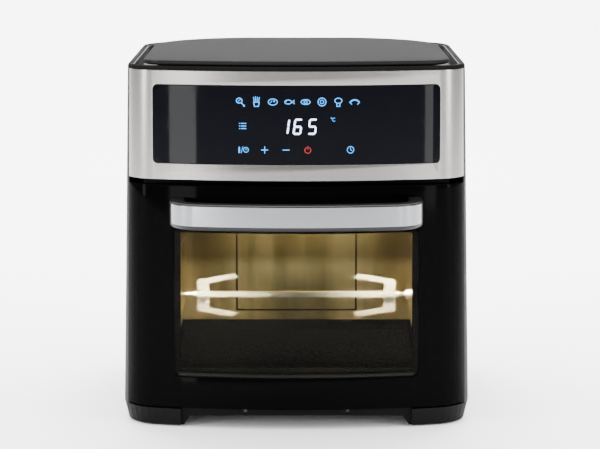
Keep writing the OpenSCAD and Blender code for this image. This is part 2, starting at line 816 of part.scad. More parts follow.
module heater_housing() color(steel) place() {
  difference() {
    union() {
      box(-heater_w / 2, heater_w / 2, heater_y - heater_w / 2, heater_y + heater_w / 2,
        heater_z, heater_top);
      box(-heater_w / 2 - 8, heater_w / 2 + 8, heater_y - heater_w / 2 - 8,
        heater_y + heater_w / 2 + 8, heater_z,
        heater_z + liner_t);
    }
    box(-heater_w / 2 + liner_t, heater_w / 2 - liner_t, heater_y - heater_w / 2 + liner_t,
      heater_y + heater_w / 2 - liner_t, heater_z - 1, heater_top - liner_t);
    translate([0, heater_y, heater_top - 3]) cylinder(r = shaft_r + 3, h = 5);
    for (x = bush_x) translate([x, heater_y + bush_at(x), heater_top - 3]) cylinder(r = 5, h = 5);
    box(-duct_w / 2 + 1, duct_w / 2 - 1, heater_y + heater_w / 2 - 3,
      heater_y + heater_w / 2 + 1, heater_z + 6,
      heater_z + 20);
  }
}

module heating_element() color(dark) place() translate([0, heater_y, coil_z]) {
  loop_a = asin(bush_x[1] / coil_r);
  rotate([0, 0, 90 + loop_a]) rotate_extrude(angle = 360 - 2 * loop_a)
      translate([coil_r, 0]) circle(coil_tube_r);
  for (x = bush_x) translate([x, bush_at(x), -coil_leg_r])
    cylinder(r = coil_leg_r, h = heater_h + 8 + coil_leg_r);
}

module element_bushings() color(white) place() {
  for (x = bush_x) translate([x, heater_y + bush_at(x), heater_top - liner_t - 3]) difference() {
    union() {
      cylinder(r = 7, h = 3);
      cylinder(r = 5, h = 7);
    }
    translate([0, 0, -1]) cylinder(r = coil_leg_r + run_c, h = 20);
  }
}

module blades(n, r0, r1, z0, z1, tilt) {
  for (i = [0:n - 1]) rotate([0, 0, i * 360 / n]) translate([r0, 0, (z0 + z1) / 2]) rotate([tilt, 0, 0])
    box(0, r1 - r0, -0.6, 0.6, (z0 - z1) / 2, (z1 - z0) / 2);
}

module hot_air_fan() color(bright) place() translate([0, heater_y, fan_z]) difference() {
  union() {
    cylinder(r = hub_r, h = 9);
    translate([0, 0, 8]) cylinder(r = fan_r - 8, h = 1);
    blades(fan_blades, hub_r - 1, fan_r, 0, 9, 0);
  }
  translate([0, 0, -1]) cylinder(r = shaft_r, h = 12);
}

shield_z = heater_top + 6;
motor_z = shield_z + 8;
cool_z = motor_z + motor_h + 4;
cool_r = 44;
shaft_top = cool_z + 9;

module fan_shaft() color(bright) place() translate([0, heater_y, 0]) {
  translate([0, 0, fan_z - 3]) cylinder(r = shaft_r, h = shaft_top - fan_z + 3);
  translate([0, 0, fan_z - 6]) cylinder(r = 5.5, h = 5.9, $fn = 6);
}

module cooling_fan() color(white) place() translate([0, heater_y, cool_z]) difference() {
  union() {
    cylinder(r = hub_r, h = 8);
    blades(7, hub_r - 1, cool_r, 0, 7, 35);
  }
  translate([0, 0, -1]) cylinder(r = shaft_r, h = 12);
}

module fan_motor() color(copper) place() translate([0, heater_y, motor_z]) difference() {
  union() {
    cylinder(r = motor_r * 0.72, h = motor_h);
    translate([0, 0, motor_h * 0.25]) cylinder(r = motor_r, h = motor_h * 0.5);
  }
  translate([0, 0, -1]) cylinder(r = shaft_r + run_c, h = motor_h + 2);
}

module motor_bracket() color(steel) place() translate([0, heater_y, 0]) difference() {
  union() {
    box(-52, 52, -14, 14, motor_z - 1.5, motor_z);
    both_sides() box(50.5, 52, -14, 14, shield_z + liner_t, motor_z);
    both_sides() box(50.5, 62, -14, 14, shield_z + liner_t, shield_z + liner_t + 1.5);
  }
  translate([0, 0, motor_z - 3]) cylinder(r = shaft_r + 3, h = 5);
}

module heat_shield() color(steel) place() {
  difference() {
    union() {
      intersection() {
        box(-body_w, body_w, band_back + 3, rear_at(shield_z) - 14, shield_z, shield_z + liner_t);
        body_solid(shield_z - 1, shield_z + 5, skin_t + 0.5);
      }
      both_sides() for (y = [heater_y - 80, heater_y + 80])
        translate([heater_w / 2 - 12, y, heater_top]) cylinder(r = 5, h = shield_z - heater_top);
    }
    translate([0, heater_y, shield_z - 3]) cylinder(r = shaft_r + 4, h = 8);
    for (x = bush_x) translate([x, heater_y + bush_at(x), shield_z - 3]) cylinder(r = 9, h = 8);
  }
}

module exhaust_duct() color(steel) place() {
  y0 = heater_y + heater_w / 2;
  y1 = rear_at(heater_z + 20) - skin_t * 2 - 1;
  difference() {
    box(-duct_w / 2, duct_w / 2, y0, y1, heater_z + 4, heater_z + 22);
    box(-duct_w / 2 + 1, duct_w / 2 - 1, y0 - 1, y1 + 1, heater_z + 5, heater_z + 21);
  }
}

// ---------- electrics ----------
pcb_x0 = -138;
pcb_x1 = -66;
pcb_z = shield_z + liner_t + 7;

module power_board() color(green) place() {
  box(pcb_x0, pcb_x1, 90, 250, pcb_z, pcb_z + 1.6);
  for (x = [pcb_x0 + 5, pcb_x1 - 5], y = [95, 245])
    translate([x, y, shield_z + liner_t]) cylinder(r = 3, h = pcb_z - shield_z - liner_t);
  box(pcb_x0 + 12, pcb_x0 + 40, 110, 142, pcb_z + 1.6, pcb_z + 24);
  box(pcb_x0 + 46, pcb_x0 + 62, 112, 134, pcb_z + 1.6, pcb_z + 17);
  box(pcb_x0 + 46, pcb_x0 + 62, 140, 162, pcb_z + 1.6, pcb_z + 17);
  for (y = [165, 185]) translate([pcb_x0 + 20, y, pcb_z + 1.6]) cylinder(r = 8, h = 20);
  box(pcb_x0 + 40, pcb_x0 + 62, 190, 204, pcb_z + 1.6, pcb_z + 12);
}

module terminal_block() color(white) place() {
  y0 = rear_at(70) - 70;
  difference() {
    box(-112, -70, y0, y0 + 18, floor_z, floor_z + 18);
    for (x = [-105, -91, -77]) {
      translate([x, y0 + 9, floor_z + 8]) cylinder(r = 3.2, h = 12);
      translate([x, 0, floor_z + 6]) rod_y(2, y0 - 1, y0 + 20);
    }
  }
}

module cord_gland() color(rubber) place() {
  y1 = rear_at(gland_z);
  translate([gland_x, 0, gland_z]) difference() {
    union() {
      rod_y(gland_r, y1 - 9, y1 + 3);
      rod_y(gland_flange_r, y1 + 0.6, y1 + 4);
      rod_y(gland_flange_r, y1 - 9, y1 - 3.4);
    }
    rod_y(4, y1 - 10, y1 + 6);
  }
}

// ---------- rotisserie ----------
socket_r = 5;
socket_l = 12;
motor_x0 = liner_x + 3;
spit_half = spit_bar / 2;
bar_end = fork_x + fork_w + 1;
stop_l = 3.5;
fork_y = -spit_half - 1;
hub_h = spit_bar + 6;
hub_back = spit_half + 2.5;
prong_splay = 0.19;
prong_tip = 4;
thumb_x = -fork_w / 2;
thumb_r = 4.5;
thumb_shank = 2;

module spit_axis() {
  translate([0, spit_y, spit_z]) children();
}

module spit_motor() color(steel) place() spit_axis() difference() {
  union() {
    rod_x(24, motor_x0, motor_x0 + 16);
    box(motor_x0, motor_x0 + 1.2, -35, 35, -8, 8);
    for (y = [-30, 30]) translate([0, y, 0]) rod_x(3.5, liner_x, motor_x0);
    box(motor_x0 + 4, motor_x0 + 12, -10, 10, 22, 32);
  }
  rod_x(3 + run_c, motor_x0 - 1, motor_x0 + 14);
}

module spit_socket() color(bright) place() spit_axis() difference() {
  union() {
    rod_x(socket_r, wall_x - socket_l, liner_x + 1.5);
    rod_x(3, liner_x, motor_x0 + 12);
  }
  rod_x(spit_end_r + run_c, wall_x - socket_l - 1, wall_x - 1.5);
}

module spit_shaft() color(bright) place() spit_axis() {
  box(-bar_end, bar_end, -spit_half, spit_half, -spit_half, spit_half);
  both_sides() rod_x(spit_half + 0.6, bar_end - 0.1, bar_end + stop_l);
  rod_x(spit_end_r, -wall_x - 3, -bar_end);
  rod_x(spit_end_r, bar_end, wall_x - 2);
}

module spit_support() color(steel) place() spit_axis() difference() {
  union() {
    rod_x(socket_r, -liner_x - 4, -wall_x + 6);
    rod_x(8.2, -liner_x - 1, -wall_x + 1);
    rod_x(11, -wall_x, -wall_x + 1.5);
    rod_x(11, -liner_x - 1.5, -liner_x);
  }
  rod_x(spit_end_r + run_c, -liner_x - 2.5, -wall_x + 7);
}

// stamped fork with its upright's inner edge at zero and its prongs towards +X
module fork() {
  hole = spit_half + fit_c;
  difference() {
    union() {
      translate([-fork_w / 2, 0, 0])
      window_block(fork_w, -fork_h / 2, fork_h / 2, 3, fork_y - fork_t, fork_y);
      for (s = [-1, 1]) translate([0, fork_y, 0]) rotate([90, 0, 0]) linear_extrude(fork_t)
        polygon([[-fork_w / 2, s * (fork_h / 2 - prong_w)], [-fork_w / 2, s * fork_h / 2],
          [prong_l - prong_tip, s * (fork_h / 2 + prong_splay * prong_l)],
          [prong_l, s * (fork_h / 2 - prong_w * 0.8 + prong_splay * prong_l)],
          [prong_l - prong_tip, s * (fork_h / 2 - prong_w + prong_splay * prong_l)]]);
      box(-fork_w, 0, fork_y - 0.1, hub_back, -hub_h / 2, hub_h / 2);
    }
    box(-fork_w - 1, 1, -hole, hole, -hole, hole);
    translate([thumb_x, 0, 0]) rod_y(thumb_shank + run_c, fork_y - fork_t - 1, 0);
  }
}

module fork_thumb_screw() {
  translate([thumb_x, fork_y - fork_t, 0]) {
    rod_y(thumb_shank, -1, fork_t + 1 - fit_c);
    difference() {
      rod_y(thumb_r, -3, -fit_c);
      for (a = [0:45:315]) rotate([0, a, 0]) translate([thumb_r + 0.6, 0, 0]) rod_y(1.2, -4, 0);
    }
    box(-thumb_r * 0.7, thumb_r * 0.7, -5.5, -2.9, -0.8, 0.8);
  }
}

module left_fork() color(bright) place() spit_axis() translate([-fork_x, 0, 0]) fork();

module right_fork() color(bright) place() spit_axis() translate([fork_x, 0, 0]) mirror([1, 0, 0]) fork();

module left_thumb_screw() color(steel) place() spit_axis() translate([-fork_x, 0, 0]) fork_thumb_screw();

module right_thumb_screw() color(steel) place() spit_axis() translate([fork_x, 0, 0])
  mirror([1, 0, 0]) fork_thumb_screw();

// ---------- lamp, sensors, switch ----------
switch_x = 134;
switch_z = door_top - 30;

module lamp_cover() color(glass) place() translate([0, lamp_y, lamp_z]) difference() {
  union() {
    rod_x(lamp_r, wall_x - 5, liner_x + 8);
    rod_x(lamp_r + 3, liner_x, liner_x + 3);
  }
  rod_x(lamp_r - 2, wall_x - 3, liner_x + 9);
}

module lamp_socket() color(white) place() translate([0, lamp_y, lamp_z]) difference() {
  rod_x(lamp_r + 3, liner_x + 3, liner_x + 24);
  rod_x(lamp_r + 0.1, liner_x + 2, liner_x + 8);
  rod_x(7, liner_x + 7, liner_x + 18);
}

module lamp_bulb() color(glass) place() translate([0, lamp_y, lamp_z]) {
  rod_x(6.9, liner_x + 2, liner_x + 18);
  translate([liner_x - 2.5, 0, 0]) rotate([0, 90, 0]) cylinder(r1 = 4, r2 = 6.9, h = 4.5);
}

module thermal_cutout() color(black) place() translate([-50, heater_y + 60, heater_top]) {
  cylinder(r = 8, h = 3);
  box(-12, 12, -3, 3, 0, 0.8);
  both_sides() box(3, 6, -1, 1, 3, 5.5);
}

module temperature_probe() color(bright) place() translate([0, probe_y, probe_z]) {
  rod_x(2.5, -liner_x - 6, -wall_x + 26);
  rod_x(5, -liner_x - 3, -liner_x);
}

module door_switch() color(dark) place() translate([switch_x, 0, switch_z]) difference() {
  box(-5, 5, seam_y + flange_t, seam_y + 18, -12, 12);
  rod_y(2 + run_c, seam_y, seam_y + 12);
}

module switch_plunger() color(white) place() translate([switch_x, 0, switch_z]) {
  rod_y(2, door_back + 0.5, seam_y + 8);
}

// ---------- everything ----------
base_pan();
rubber_feet();
base_screws();
left_side_panel();
right_side_panel();
rear_cover();
rear_spacers();
rear_screws();
top_rim();
top_plate();
control_band();
fascia_frame();
touch_panel();
light_guide();
display_board();
board_screws();
door_frame();
door_outer_glass();
door_inner_glass();
door_inner_panel();
door_gasket();
door_screws();
door_striker();
hinge_pins();
hinge_brackets();
catch_magnet();
handle_body();
handle_plate();
handle_screws();
cavity_liner();
drip_tray();
fan_guard();
heater_housing();
heating_element();
element_bushings();
hot_air_fan();
fan_shaft();
fan_motor();
cooling_fan();
motor_bracket();
heat_shield();
exhaust_duct();
power_board();
terminal_block();
cord_gland();
spit_motor();
spit_socket();
spit_shaft();
left_fork();
right_fork();
left_thumb_screw();
right_thumb_screw();
spit_support();
lamp_socket();
lamp_bulb();
lamp_cover();
thermal_cutout();
temperature_probe();
door_switch();
switch_plunger();
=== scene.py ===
import bmesh
import bpy
import json
import math
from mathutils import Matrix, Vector

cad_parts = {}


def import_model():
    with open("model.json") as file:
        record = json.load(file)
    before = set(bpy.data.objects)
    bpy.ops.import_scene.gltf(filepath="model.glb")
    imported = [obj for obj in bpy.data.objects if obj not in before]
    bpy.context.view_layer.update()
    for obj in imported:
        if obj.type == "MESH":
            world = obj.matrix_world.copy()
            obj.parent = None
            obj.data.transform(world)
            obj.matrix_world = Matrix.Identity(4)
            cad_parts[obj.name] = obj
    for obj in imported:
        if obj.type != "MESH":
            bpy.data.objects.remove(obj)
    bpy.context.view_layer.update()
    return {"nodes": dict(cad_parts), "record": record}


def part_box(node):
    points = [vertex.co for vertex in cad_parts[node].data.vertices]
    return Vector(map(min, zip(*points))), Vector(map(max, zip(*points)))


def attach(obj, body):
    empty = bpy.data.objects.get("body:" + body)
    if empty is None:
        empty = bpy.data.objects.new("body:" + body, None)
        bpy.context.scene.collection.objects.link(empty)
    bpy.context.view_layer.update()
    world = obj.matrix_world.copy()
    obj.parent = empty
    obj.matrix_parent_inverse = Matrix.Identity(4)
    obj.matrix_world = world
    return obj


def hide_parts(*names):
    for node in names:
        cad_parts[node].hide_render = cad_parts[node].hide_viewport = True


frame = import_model()

# ---------------------------------------------------------------- sizes in millimetres, as in the frame
MM = 0.001
BODY_W, BODY_D, BODY_H = 342.0, 325.0, 359.5
BASE_H, TAPER = 18.5, 8.0
BOW, FRONT_R, REAR_R = 600.0, 42.0, 62.0
SEAM_Y, SKIN = 37.0, 1.2
COVER_HALF = (BODY_W - 2 * REAR_R - 6) / 2
PLATE_T, RIM_H, BAND_H = 5.5, 4.0, 105.0
RIM_TOP = BODY_H - PLATE_T - 0.3
BAND_TOP = RIM_TOP - RIM_H
BAND_Z = BAND_TOP - BAND_H
DOOR_TOP = BAND_Z - 5.5
DOOR_Z = BASE_H + 1.5
DOOR_BACK = SEAM_Y - 6
CAVITY_BACK = SEAM_Y + 1 + 236
SPIT_Y, SPIT_Z = 151.3, 104.5
WINDOW_W, WINDOW_Z, WINDOW_TOP = 238.0, DOOR_Z + 31, DOOR_TOP - 40
PANEL_W, PANEL_H, PANEL_MID = 275.0, 76.0, BAND_Z + 53.5
MARK_ROW, DIGIT_ROW, BUTTON_ROW = PANEL_MID + 22.5, PANEL_MID - 1.1, PANEL_MID - 23.4
WELL_Z = BAND_TOP - 12
PLATE_Z = BODY_H - PLATE_T
HANDLE_W, HANDLE_H, HANDLE_T, HANDLE_REACH = 241.0, 25.0, 13.5, 46.0
HANDLE_Z = DOOR_TOP - 11 - HANDLE_H
FRONT_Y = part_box("door_frame")[0].y / MM


# ---------------------------------------------------------------- plan outlines
class Outline:
    """D-shaped plan with a bowed front; u runs from the middle of the front to the right and round."""

    def __init__(self, w, d, bow, rf, rr):
        cx = w / 2 - rf
        cy = bow - math.sqrt((bow - rf) ** 2 - cx * cx)
        lean = math.asin(cx / (bow - rf))
        self.parts = [
            (bow * lean, "arc", (0, bow), bow, -math.pi / 2),
            (rf * (math.pi / 2 - lean), "arc", (cx, cy), rf, lean - math.pi / 2),
            (d - rr - cy, "line", (w / 2, cy), (0, 1), None),
            (rr * math.pi / 2, "arc", (w / 2 - rr, d - rr), rr, 0),
            (w / 2 - rr, "line", (w / 2 - rr, d), (-1, 0), None),
        ]
        self.half = sum(p[0] for p in self.parts)

    def at(self, u):
        """Point and outward normal at u."""
        s, left = abs(u), 1 if u >= 0 else -1
        for i, (length, kind, a, b, c) in enumerate(self.parts):
            if s <= length or i == len(self.parts) - 1:
                break
            s -= length
        if kind == "arc":
            angle = c + s / b
            n = (math.cos(angle), math.sin(angle))
            p = (a[0] + b * n[0], a[1] + b * n[1])
        else:
            p = (a[0] + b[0] * s, a[1] + b[1] * s)
            n = (b[1], -b[0])
        return (p[0] * left, p[1]), (n[0] * left, n[1])

    def steps(self, u0, u1, straight=12.0):
        """Values of u between u0 and u1, close together where the outline bends sharply."""
        marks, s = [0.0], 0.0
        for length, kind, a, b, c in self.parts:
            size = straight if kind == "line" else max(1.4, b * 0.012)
            count = max(1, round(length / size))
            marks += [s + length * (i + 1) / count for i in range(count)]
            s += length
        marks = sorted(set([-m for m in marks] + marks))
        return [u0] + [m for m in marks if u0 + 0.2 < m < u1 - 0.2] + [u1]


body_plan = Outline(BODY_W, BODY_D, BOW, FRONT_R, REAR_R)
plate_plan = Outline(294, 292, BOW, 22, 100)
handle_plan = Outline(HANDLE_W, 120, 530, 30, 30)


def lean_at(z):
    return TAPER * (z - BASE_H) / (BODY_H - BASE_H)


def on_body(u, z, h=0.0):
    (x, y), (nx, ny) = body_plan.at(u)
    lean = lean_at(z)
    return Vector((x + nx * (h - lean), y + ny * (h - lean) - lean, z))


def on_plate(u, z, h=0.0):
    (x, y), (nx, ny) = plate_plan.at(u)
    return Vector((x + nx * h, y + ny * h + 3, z))


def on_handle(u, z, h=0.0):
    (x, y), (nx, ny) = handle_plan.at(u)
    return Vector((x + nx * h, y + ny * h - HANDLE_REACH, z))


def u_where(test, low, high):
    """Smallest u between low and high where test(u) turns true."""
    for _ in range(40):
        mid = (low + high) / 2
        if test(mid):
            high = mid
        else:
            low = mid
    return high


def seam_u(z, depth=SEAM_Y):
    return u_where(lambda u: on_body(u, z).y > depth, 0, 260)


def world(p):
    return Vector((p[0] * MM, (p[1] + FRONT_Y) * MM, p[2] * MM))


# ---------------------------------------------------------------- mesh builders
def finish_mesh(name, bm, material, body, sharp=32, stands_for=()):
    name = name.replace(" ", "_")
    mesh = bpy.data.meshes.new(name)
    bm.normal_update()
    bm.to_mesh(mesh)
    bm.free()
    mesh.shade_smooth()
    mesh.set_sharp_from_angle(angle=math.radians(sharp))
    mesh.materials.append(material)
    obj = bpy.data.objects.new(name, mesh)
    bpy.context.scene.collection.objects.link(obj)
    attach(obj, body)
    if stands_for:
        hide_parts(*stands_for)
    return obj


def flat_bm(loops, thickness, bevel=0.0, steps=2):
    """Plate with holes from 2D loops, its middle plane at zero, as a bmesh."""
    curve = bpy.data.curves.new("flat", "CURVE")
    curve.dimensions = "2D"
    curve.fill_mode = "BOTH"
    curve.extrude = max(0.0, thickness / 2 - bevel)
    curve.bevel_depth = bevel
    curve.bevel_resolution = steps
    curve.offset = -bevel
    for loop in loops:
        spline = curve.splines.new("POLY")
        spline.points.add(len(loop) - 1)
        for point, (x, y) in zip(spline.points, loop):
            point.co = (x, y, 0, 1)
        spline.use_cyclic_u = True
    obj = bpy.data.objects.new("flat", curve)
    bpy.context.scene.collection.objects.link(obj)
    bpy.context.view_layer.update()
    mesh = bpy.data.meshes.new_from_object(obj.evaluated_get(bpy.context.evaluated_depsgraph_get()))
    bm = bmesh.new()
    bm.from_mesh(mesh)
    bpy.data.objects.remove(obj)
    bpy.data.curves.remove(curve)
    bpy.data.meshes.remove(mesh)
    bmesh.ops.remove_doubles(bm, verts=bm.verts, dist=0.0005)
    return bm


def wrap(bm, cuts, place):
    """Slices a flat plate at each u in cuts, then sends every point (u, z, h) to place(u, z, h)."""
    for u in cuts:
        bmesh.ops.bisect_plane(bm, geom=bm.verts[:] + bm.edges[:] + bm.faces[:], dist=0.0002,
                               plane_co=(u, 0, 0), plane_no=(1, 0, 0))
    for v in bm.verts:
        v.co = world(place(v.co.x, v.co.y, v.co.z))
    return bm


def add_sweep(bm, us, profile, place, closed_path=False, closed_profile=True, caps=True):
    """Sweeps a profile of (h, z) points along an outline."""
    rows = [[bm.verts.new(world(place(u, z, h))) for h, z in profile] for u in us]
    n, m = len(profile), len(rows)
    for i in range(m if closed_path else m - 1):
        a, b = rows[i], rows[(i + 1) % m]
        for k in range(n if closed_profile else n - 1):
            bm.faces.new((a[k], b[k], b[(k + 1) % n], a[(k + 1) % n]))
    if caps and not closed_path and closed_profile:
        bm.faces.new(rows[0][::-1])
        bm.faces.new(rows[-1])
    return rows


def sweep(us, profile, place, **options):
    bm = bmesh.new()
    add_sweep(bm, us, profile, place, **options)
    bmesh.ops.recalc_face_normals(bm, faces=bm.faces[:])
    return bm


def rounded(x0, x1, y0, y1, r, n=8):
    points = []
    corners = ((x1 - r, y0 + r, -90), (x1 - r, y1 - r, 0), (x0 + r, y1 - r, 90), (x0 + r, y0 + r, 180))
    for cx, cy, start in corners:
        for i in range(n + 1):
            angle = math.radians(start + 90 * i / n)
            points.append((cx + r * math.cos(angle), cy + r * math.sin(angle)))
    return points


# ---------------------------------------------------------------- shader helpers
class Socket:
    """A shader value that takes part in arithmetic."""

    def __init__(self, tree, out):
        self.tree, self.out = tree, out

    def _math(self, operation, a, b=None):
        node = self.tree.nodes.new("ShaderNodeMath")
        node.operation = operation
        for i, value in enumerate([a] if b is None else [a, b]):
            if isinstance(value, Socket):
                self.tree.links.new(value.out, node.inputs[i])
            else:
                node.inputs[i].default_value = value
        return Socket(self.tree, node.outputs[0])

    def __add__(self, other): return self._math("ADD", self, other)
    def __radd__(self, other): return self._math("ADD", other, self)
    def __sub__(self, other): return self._math("SUBTRACT", self, other)
    def __rsub__(self, other): return self._math("SUBTRACT", other, self)
    def __mul__(self, other): return self._math("MULTIPLY", self, other)
    def __rmul__(self, other): return self._math("MULTIPLY", other, self)
    def __truediv__(self, other): return self._math("DIVIDE", self, other)
    def __rtruediv__(self, other): return self._math("DIVIDE", other, self)
    def __gt__(self, other): return self._math("GREATER_THAN", self, other)
    def __lt__(self, other): return self._math("LESS_THAN", self, other)
    def size(self): return self._math("ABSOLUTE", self)
    def larger(self, other): return self._math("MAXIMUM", self, other)
    def clamp(self): return self._math("MINIMUM", self._math("MAXIMUM", self, 0.0), 1.0)


class Finish:
    """A material built from nodes."""

    def __init__(self, name):
        self.material = bpy.data.materials.new(name)
        self.material.use_nodes = True
        self.tree = self.material.node_tree
        self.tree.nodes.clear()
        self.output = self.tree.nodes.new("ShaderNodeOutputMaterial")
        self.place = self.node("TexCoord", out="Object")

    def node(self, kind, settings=None, out=0, **inputs):
        node = self.tree.nodes.new("ShaderNode" + kind)
        for key, value in (settings or {}).items():
            setattr(node, key, value)
        for key, value in inputs.items():
            numbered = key[0] == "i" and key[1:].isdigit()
            socket = node.inputs[int(key[1:]) if numbered else key.replace("_", " ")]
            if isinstance(value, Socket):
                self.tree.links.new(value.out, socket)
            else:
                socket.default_value = value
        return Socket(self.tree, node.outputs[out])

    def noise(self, scale, detail=3.0, rough=0.55, stretch=(1, 1, 1), out="Fac"):
        where = self.node("Mapping", Vector=self.place, Scale=stretch)
        return self.node("TexNoise", out=out, Vector=where, Scale=scale, Detail=detail, Roughness=rough)

    def ramp(self, value, low, high):
        return self.node("MapRange", {"interpolation_type": "SMOOTHSTEP"}, Value=value,
                         From_Min=low, From_Max=high)

    def mix(self, amount, a, b):
        return self.node("Mix", {"data_type": "RGBA"}, out=2, i0=amount, i6=a, i7=b)

    def bump(self, height, strength, distance):
        return self.node("Bump", Height=height, Strength=strength, Distance=distance)

    def surface(self, **inputs):
        shader = self.node("BsdfPrincipled", **inputs)
        self.tree.links.new(shader.out, self.output.inputs["Surface"])
        return shader

    def shader(self, value):
        self.tree.links.new(value.out, self.output.inputs["Surface"])


def rgb(r, g, b):
    return (r, g, b, 1.0)


def brushed(name, colour, along=(1, 60, 60), rough=0.26, depth=0.3, tint=0.10, aniso=0.6):
    """Metal with fine straight grain; along is small in the direction of the brushing."""
    f = Finish(name)
    fine = f.noise(38, 4, 0.7, along)
    broad = f.noise(9, 3, 0.6, tuple(0.25 * a + 0.6 for a in along))
    smudge = f.noise(14, 5, 0.6)
    grain = fine * 0.65 + broad * 0.35
    dark = rgb(*[c * (1 - tint * 1.6) for c in colour])
    light = rgb(*[min(1, c * (1 + tint)) for c in colour])
    f.surface(Base_Color=f.mix(f.ramp(grain, 0.32, 0.68), dark, light), Metallic=1.0,
              Roughness=(rough - 0.08) + grain * 0.16 + f.ramp(smudge, 0.5, 0.75) * 0.05,
              Anisotropic=aniso, Normal=f.bump(fine, depth, 0.00015))
    return f.material


def liner(name):
    """Stainless sheet with soft upright streaks; its gold tone and brighter lower part are painted lamp
    light, and the pressed panel's outline on the back wall is a painted shade line.
    """
    f = Finish(name)
    axes = [f.node("SeparateXYZ", out=i, Vector=f.place) for i in range(3)]
    fine = f.noise(38, 4, 0.7, (20, 20, 0.6))
    streak = f.noise(11, 3, 0.6, (2.2, 2.2, 0.25))
    cloud = f.noise(20, 4, 0.6)
    depth = axes[1] - (FRONT_Y + CAVITY_BACK - 6) * MM
    level = axes[2]
    half_w, middle, half_h = 65 * MM, 131.6 * MM, 69.2 * MM
    edge = (axes[0].size() - half_w).larger((level - middle).size() - half_h)
    # painted shade: a dark line along the pressed panel's outline stands in for the shadow at its step; the
    # same mask also bumps the step
    outline_painted_shade = (1.0 - f.ramp(edge.size(), 0.0004, 0.0016)) * (depth > 0.0)
    # painted light: the walls below about 112 mm are painted brighter, as if lit by the lamp
    low = 1.0 - f.ramp(level + cloud * 0.01, 0.112, 0.130)
    flange = axes[1] < (FRONT_Y + SEAM_Y + 1.3) * MM
    # tone mixes the real streaks and grain with the painted lower light
    tone = (f.ramp(streak, 0.38, 0.66) * (0.3 + low * 0.25) + low * 0.45 + fine * 0.1).clamp()
    # painted light: the dark brown to pale gold ramp gives the steel the lamp's warm colour
    colour = f.mix(tone, rgb(0.09, 0.062, 0.012), rgb(0.88, 0.76, 0.46))
    # the panel outline gets painted shade here; the front flange gets the same dark colour
    f.surface(Base_Color=f.mix(outline_painted_shade.larger(flange), colour, rgb(0.02, 0.016, 0.01)), Metallic=1.0,
              Roughness=0.24 + fine * 0.12 + f.ramp(cloud, 0.5, 0.75) * 0.06, Anisotropic=0.3,
              Normal=f.bump(fine - outline_painted_shade * 3.0, 0.1, 0.00015))
    return f.material


def plastic(name, colour, rough=0.45, grain=900, depth=0.25, wear=0.05, coat=0.0, spec=0.4):
    """Moulded plastic with a fine spark-eroded grain and slight handling marks."""
    f = Finish(name)
    fine = f.noise(grain, 3, 0.6)
    patch = f.noise(11, 4, 0.6)
    specks = f.node("TexVoronoi", Vector=f.place, Scale=grain * 0.6)
    tone = f.ramp(patch, 0.3, 0.75) * 0.5 + f.ramp(fine, 0.3, 0.7) * 0.5
    darker = rgb(*[c * 0.86 for c in colour])
    lighter = rgb(*[min(1, c * 1.2) for c in colour])
    f.surface(Base_Color=f.mix(tone, darker, lighter),
              Roughness=(rough + wear * f.ramp(patch, 0.45, 0.8) + 0.06 * specks).clamp(),
              Specular_IOR_Level=spec, Coat_Weight=coat, Coat_Roughness=0.08,
              Normal=f.bump(fine * 0.6 + specks * 0.4, depth, 0.00012))
    return f.material


def gloss(name, colour, rough=0.05, ripple=0.012, smear=0.10, shine=0.12):
    """Polished black with faint moulding ripple, wipe marks and dust."""
    f = Finish(name)
    wave = f.noise(16, 2, 0.5)
    wipes = f.noise(30, 5, 0.7, (0.6, 0.6, 2.6))
    dust = f.node("TexVoronoi", Vector=f.place, Scale=420.0)
    specks = 1.0 - f.ramp(dust, 0.02, 0.06)
    f.surface(Base_Color=f.mix(specks * 0.25, rgb(*colour), rgb(0.03, 0.03, 0.03)),
              Roughness=(rough + smear * f.ramp(wipes, 0.5, 0.8) + specks * 0.15).clamp(),
              Specular_IOR_Level=shine, Normal=f.bump(wave, ripple, 0.004))
    return f.material


def rubber(name, colour=(0.028, 0.028, 0.028)):
    return plastic(name, colour, rough=0.75, grain=500, depth=0.4, wear=0.08, spec=0.3)


def pane(name, tint, see=0.78, ior=1.5, rough=0.01):
    """Glass that shows what is behind it, with a true reflection on top and faint wipe marks."""
    f = Finish(name)
    wipes = f.noise(26, 5, 0.7, (0.5, 0.5, 2.2))
    clear = f.node("BsdfTransparent", Color=rgb(*tint))
    mirror = f.node("BsdfGlossy", Color=rgb(1, 1, 1), Roughness=rough + 0.05 * f.ramp(wipes, 0.55, 0.8))
    amount = f.node("Fresnel", IOR=ior) * (1.0 - see) + 0.0012 * f.ramp(wipes, 0.5, 0.8)
    f.shader(f.node("MixShader", i0=amount.clamp(), i1=clear, i2=mirror))
    return f.material


def glow(name, colour, strength):
    f = Finish(name)
    grain = f.noise(700, 2)
    f.surface(Base_Color=rgb(*[c * 0.4 for c in colour]), Roughness=0.3 + 0.1 * grain,
              Emission_Color=f.mix(f.ramp(grain, 0.3, 0.7), rgb(*[c * 0.9 for c in colour]), rgb(*colour)),
              Emission_Strength=strength)
    return f.material


def plated(name, colour, rough=0.14):
    f = Finish(name)
    spots = f.noise(90, 5, 0.65)
    fine = f.noise(800, 2)
    f.surface(Base_Color=f.mix(f.ramp(spots, 0.35, 0.75), rgb(*colour), rgb(*[c * 0.82 for c in colour])),
              Metallic=1.0, Roughness=rough + 0.12 * f.ramp(spots, 0.4, 0.8),
              Normal=f.bump(fine, 0.08, 0.0001))
    return f.material


def board(name):
    """Green circuit board with tracks and pads."""
    f = Finish(name)
    fine = f.noise(300, 3)
    tracks = f.node("TexBrick", {"offset": 0.5}, Vector=f.place, Scale=110.0, Mortar_Size=0.06,
                    Color1=rgb(0, 0, 0), Color2=rgb(0, 0, 0), Mortar=rgb(1, 1, 1))
    mask = f.mix(fine, rgb(0.01, 0.1, 0.04), rgb(0.02, 0.16, 0.07))
    f.surface(Base_Color=f.mix(tracks, mask, rgb(0.05, 0.28, 0.12)),
              Roughness=0.3 + 0.2 * fine, Normal=f.bump(fine, 0.15, 0.0002))
    return f.material


